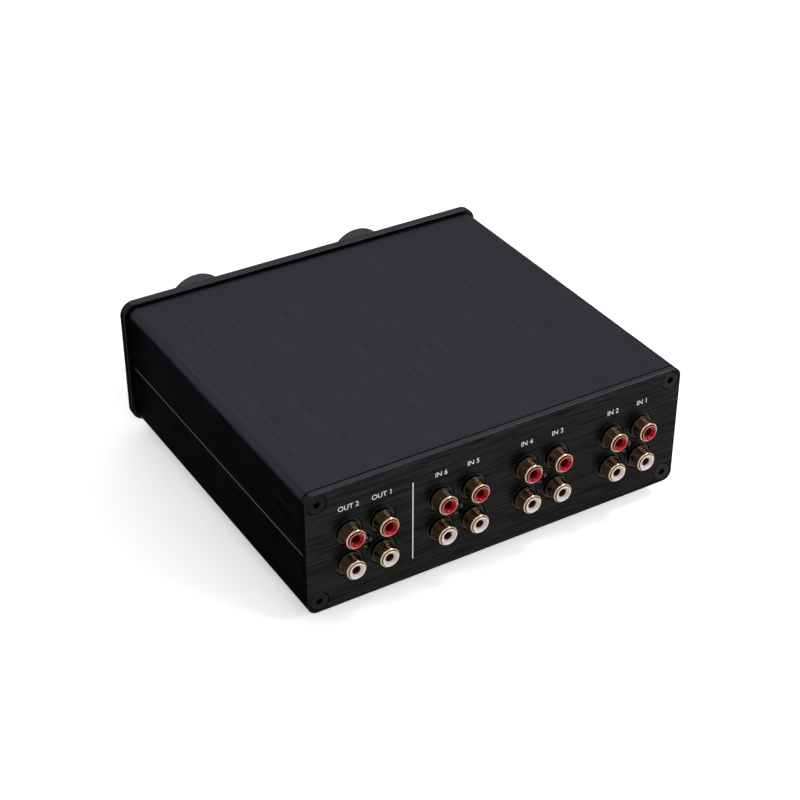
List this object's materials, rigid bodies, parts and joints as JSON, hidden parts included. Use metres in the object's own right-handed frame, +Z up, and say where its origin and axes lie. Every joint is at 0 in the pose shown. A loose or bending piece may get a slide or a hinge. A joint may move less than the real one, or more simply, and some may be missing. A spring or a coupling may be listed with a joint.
{
  "type": "passive preamplifier",
  "caption": "Flat black aluminium audio control box with an overhanging front panel, a volume knob and an input selector knob, and blocks of phono jacks across its back.",
  "frame": {"origin": "on the ground under the middle of the whole object, feet, knobs and jacks included", "axes": "+Z up, the knobs face -Y, the jacks face +Y, +X is the right side seen from the front"},
  "size_m": [0.1704, 0.1852, 0.061],
  "materials": {
    "case_black": "black anodised, brushed lengthwise",
    "panel_black": "black anodised, brushed across",
    "knob_black": "black anodised, turned",
    "screw_black": "black oxide",
    "bright_steel": "plain zinc or nickel plate",
    "plain_aluminium": "turned",
    "brass": "turned",
    "rubber": "moulded, matt",
    "control_case": "satin",
    "board": "solder resist",
    "nylon": "moulded",
    "cable": "flat cable sheath",
    "black_plastic": "moulded",
    "gold": "gold plate, bright",
    "red_plastic": "moulded, glossy",
    "white_plastic": "moulded, glossy"
  },
  "bodies": {
    "chassis": {"top_shell": "case_black", "bottom_shell": "case_black", "front_panel": "panel_black", "rear_panel": "panel_black", "front_panel_screws": "screw_black", "rear_panel_screws": "screw_black", "jack_block_screws": "screw_black", "foot_screws": "bright_steel", "volume_pot_washer": "bright_steel", "volume_pot_nut": "bright_steel", "panel_bushing_washer": "bright_steel", "panel_bushing_nut": "bright_steel", "volume_pot_terminals": "bright_steel", "selector_switch_terminals": "bright_steel", "panel_bushing": "brass", "foot_front_left": "rubber", "foot_front_right": "rubber", "foot_rear_left": "rubber", "foot_rear_right": "rubber", "volume_pot_case": "control_case", "selector_switch_case": "control_case", "volume_board": "board", "jack_board": "board", "volume_header": "nylon", "board_header": "nylon", "volume_plug": "nylon", "board_plug": "nylon", "signal_cable": "cable", "output_jack_block": "black_plastic", "input_6_5_jack_block": "black_plastic", "input_4_3_jack_block": "black_plastic", "input_2_1_jack_block": "black_plastic", "output_jack_shells": "gold", "output_jack_contacts": "gold", "input_6_5_jack_shells": "gold", "input_6_5_jack_contacts": "gold", "input_4_3_jack_shells": "gold", "input_4_3_jack_contacts": "gold", "input_2_1_jack_shells": "gold", "input_2_1_jack_contacts": "gold", "output_red_insulators": "red_plastic", "input_6_5_red_insulators": "red_plastic", "input_4_3_red_insulators": "red_plastic", "input_2_1_red_insulators": "red_plastic", "output_white_insulators": "white_plastic", "input_6_5_white_insulators": "white_plastic", "input_4_3_white_insulators": "white_plastic", "input_2_1_white_insulators": "white_plastic"},
    "volume_control": {"volume_knob": "knob_black", "volume_set_screw": "screw_black", "volume_pot_shaft": "bright_steel"},
    "selector_control": {"selector_knob": "knob_black", "selector_set_screw": "screw_black", "extension_shaft": "bright_steel", "shaft_coupler": "plain_aluminium", "coupler_screws": "screw_black", "selector_switch_shaft": "bright_steel"}
  },
  "joints": [
    {"name": "volume_turn", "type": "hinge", "parent": "chassis", "child": "volume_control", "pos_m": [0.04, -0.0691, 0.0357], "axis": [0, 1, 0], "range_deg": [-150, 150]},
    {"name": "selector_turn", "type": "hinge", "parent": "chassis", "child": "selector_control", "pos_m": [-0.04, -0.0691, 0.0357], "axis": [0, 1, 0], "range_deg": [-60, 90]}
  ]
}
